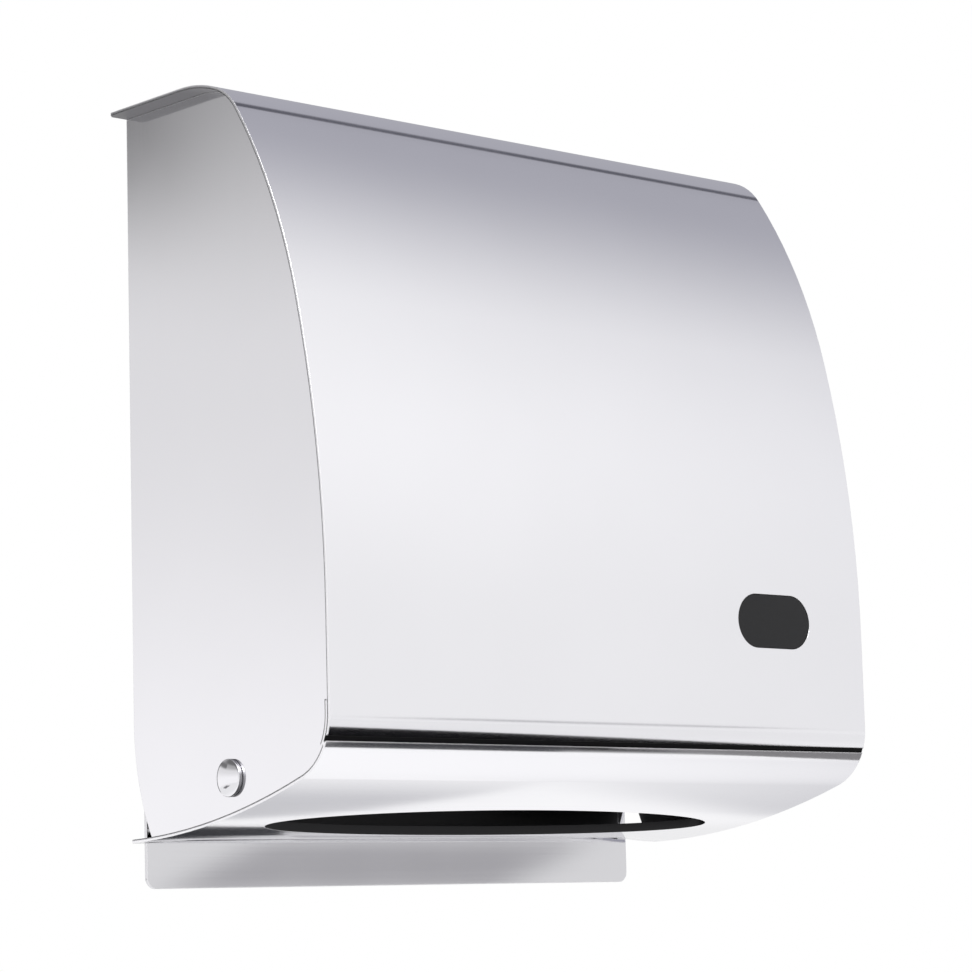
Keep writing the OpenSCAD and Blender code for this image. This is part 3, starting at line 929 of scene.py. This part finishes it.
def make_floor(stage):
    """A plain pale floor under the part."""
    work = bmesh.new()
    bmesh.ops.create_circle(work, cap_ends=True, segments=FLOOR_SIDES, radius=stage.floor_radius)
    mesh = bpy.data.meshes.new("Floor")
    work.to_mesh(mesh)
    work.free()
    floor = bpy.data.objects.new("Floor", mesh)
    bpy.context.scene.collection.objects.link(floor)
    floor.location.z = cad_box[0][2] - stage.floor_gap
    material, g = new_graph("Pale floor")
    place = g.place()
    cloud = g.noise(place, scale=3.0, detail=3.0)
    matt = g.add(
        "ShaderNodeBsdfPrincipled",
        inputs={
            "Base Color": g.clouded(cloud, stage.floor, low=0.985, high=1.0),
            "Roughness": 0.8,
            "Specular IOR Level": 0.2,
        },
    )
    mirrored = g.ray("Is Glossy Ray")
    far = g.eased(g.vector("LENGTH", place, output="Value"), *FLOOR_FAR)
    light = g.blend(far * mirrored, colour(stage.light), tinted(stage.light, FLOOR_FAR_LIGHT))
    white = g.add("ShaderNodeEmission", inputs={"Color": light, "Strength": 1.0})
    polish = FLOOR_MIRRORED * mirrored.math("MAXIMUM", g.ray("Is Transmission Ray"))
    pale = polish.math("MAXIMUM", FLOOR_SEEN * g.ray("Is Camera Ray"))
    g.finish(g.add("ShaderNodeMixShader", inputs={0: pale, 1: matt, 2: white}))
    mesh.materials.append(material)
    return floor


def make_board(name, corners, shade, soft):
    """A photographer's board with soft edges, which only shiny surfaces see."""
    mesh = bpy.data.meshes.new(name)
    mesh.from_pydata(corners, [], [(0, 1, 2, 3)])
    layer = mesh.uv_layers.new(name="Board")
    for loop, at in zip(layer.data, BOARD_CORNERS):
        loop.uv = at
    board = bpy.data.objects.new(name, mesh)
    bpy.context.scene.collection.objects.link(board)
    board.visible_camera = False
    board.visible_diffuse = False
    board.visible_shadow = False
    board.visible_transmission = False
    material, g = new_graph(name)
    place = g.add("ShaderNodeTexCoord", output="UV")
    across = g.dot(place, (1, 0, 0))
    along = g.dot(place, (0, 1, 0))
    cover = 1.0
    for inward, edge in zip((across, 1 - across, along, 1 - along), soft):
        cover = cover * g.eased(inward, 0.0, edge)
    clear = g.add("ShaderNodeBsdfTransparent")
    plain = g.add("ShaderNodeEmission", inputs={"Color": colour(shade), "Strength": 1.0})
    g.finish(g.add("ShaderNodeMixShader", inputs={0: cover, 1: clear, 2: plain}))
    mesh.materials.append(material)


def lying(height, *corners):
    """Corners of a level board from their places in plan."""
    return [(x, y, height) for x, y in corners]


def standing(depth, *corners):
    """Corners of a board that stands along the wall from their places in front view."""
    return [(x, depth, z) for x, z in corners]


def make_boards(floor_z):
    """The boards that the polished sheets mirror: corners, colour, and softness of the four edges."""
    foot = floor_z + BOARD_FOOT
    boards = {
        "Overhead board": (
            lying(1.3, (-0.6, -0.12), (2.4, -0.12), (2.4, 0.1), (-0.6, 0.1)),
            (0.1, 0.1, 0.12),
            (0.05, 0.05, 0.12, 0.35),
        ),
        "Low front board": (
            lying(floor_z + BOARD_LAYER, (0.245, -1.15), (0.72, -1.15), (0.87, -0.35), (0.245, -0.33)),
            (0.004, 0.004, 0.005),
            (0.02, 0.02, 0.05, 0.05),
        ),
        # Right shade and Rear shade are painted shade on the floor: grey patches that only the polished
        # sheets mirror
        "Right shade": (
            lying(floor_z + 2 * BOARD_LAYER, (0.2, -0.34), (0.9, -0.34), (0.9, 0.62), (0.2, 0.16)),
            (0.63, 0.63, 0.65),
            (1.0, 0.02, 0.1, 0.2),
        ),
        "Rear shade": (
            lying(floor_z + 3 * BOARD_LAYER, (0.1, 0.21), (0.447, 0.21), (0.447, 0.62), (0.1, 0.62)),
            (0.57, 0.57, 0.59),
            (0.02, 0.03, 0.46, 0.02),
        ),
        "Low grey wedge": (
            lying(floor_z + 4 * BOARD_LAYER, (0.4, -0.47), (0.95, -0.47), (0.68, -0.22), (0.45, -0.365)),
            (0.22, 0.215, 0.22),
            (0.1, 0.02, 0.02, 0.08),
        ),
        "Plate board": (
            standing(-1.03, (0.588, -0.142), (1.011, -0.142), (1.12, -0.098), (0.6965, -0.098)),
            (0.475, 0.47, 0.485),
            (0.18, 0.2, 0.15, 0.15),
        ),
        "Low dark strip": (
            standing(-0.2, (-0.03, -0.235), (0.112, -0.235), (0.106, -0.193), (-0.03, -0.157)),
            (0.05, 0.051, 0.056),
            (0.02, 0.02, 0.02, 0.02),
        ),
        "Low grey strip": (
            standing(-0.18, (0.09, -0.186), (0.285, -0.165), (0.285, -0.153), (0.09, -0.17)),
            (0.54, 0.535, 0.55),
            (0.02, 0.4, 0.02, 0.02),
        ),
        "Rear left board": (
            lying(foot, (-1.8, 1.35), (-1.1, 1.35), (-1.1, 2.1), (-1.8, 2.1)),
            (0.2, 0.195, 0.205),
            (0.1, 0.1, 0.1, 0.1),
        ),
        "Rear board": (
            standing(1.4, (-0.3, foot), (0.65, foot), (0.65, 1.2), (-0.3, 1.2)),
            (0.03, 0.03, 0.035),
            (0.02, 0.02, 0.02, 0.1),
        ),
    }
    for name, (corners, shade, soft) in boards.items():
        make_board(name, corners, shade, soft)


def make_lamp(stage):
    """One large soft lamp in front, to the left and above."""
    data = bpy.data.lights.new("Key light", "AREA")
    data.shape = "SQUARE"
    data.size = LAMP_SIZE
    data.energy = stage.key_power
    lamp = bpy.data.objects.new("Key light", data)
    bpy.context.scene.collection.objects.link(lamp)
    lamp.location = LAMP_PLACE
    lamp.rotation_euler = (-lamp.location).to_track_quat("-Z", "Y").to_euler()
    lamp.visible_camera = False


class DISPENSER_OT_stage(bpy.types.Operator):
    """Make the camera, the light, the floor and the boards"""

    bl_idname = "dispenser.stage"
    bl_label = "Stage"

    def execute(self, context):
        stage = context.scene.dispenser_stage
        context.scene.view_settings.view_transform = "Standard"
        make_camera(stage)
        make_world(stage)
        floor = make_floor(stage)
        make_boards(floor.location.z)
        make_lamp(stage)
        return {"FINISHED"}


STEPS = (
    DISPENSER_OT_wrap,
    DISPENSER_OT_sides,
    DISPENSER_OT_back,
    DISPENSER_OT_pivots,
    DISPENSER_OT_seam,
    DISPENSER_OT_window,
    DISPENSER_OT_lock,
    DISPENSER_OT_stage,
)


class DISPENSER_PT_sidebar(bpy.types.Panel):
    """Lists the dispenser's settings and steps"""

    bl_idname = "DISPENSER_PT_sidebar"
    bl_label = "Towel dispenser"
    bl_space_type = "VIEW_3D"
    bl_region_type = "UI"
    bl_category = "Dispenser"

    def draw(self, context):
        for settings in (context.scene.dispenser_finish, context.scene.dispenser_stage):
            box = self.layout.box()
            for name in settings.__annotations__:
                box.prop(settings, name)
        for step in STEPS:
            self.layout.operator(step.bl_idname)


CLASSES = (DispenserFinish, DispenserStage, *STEPS, DISPENSER_PT_sidebar)


def register():
    for item in CLASSES:
        bpy.utils.register_class(item)
    bpy.types.Scene.dispenser_finish = bpy.props.PointerProperty(type=DispenserFinish)
    bpy.types.Scene.dispenser_stage = bpy.props.PointerProperty(type=DispenserStage)


def unregister():
    del bpy.types.Scene.dispenser_stage
    del bpy.types.Scene.dispenser_finish
    for item in reversed(CLASSES):
        bpy.utils.unregister_class(item)


def main():
    register()
    bpy.ops.dispenser.wrap()
    bpy.ops.dispenser.sides()
    bpy.ops.dispenser.back()
    bpy.ops.dispenser.pivots()
    bpy.ops.dispenser.seam()
    bpy.ops.dispenser.window()
    bpy.ops.dispenser.lock()
    bpy.ops.dispenser.stage()


if __name__ == "__main__":
    main()
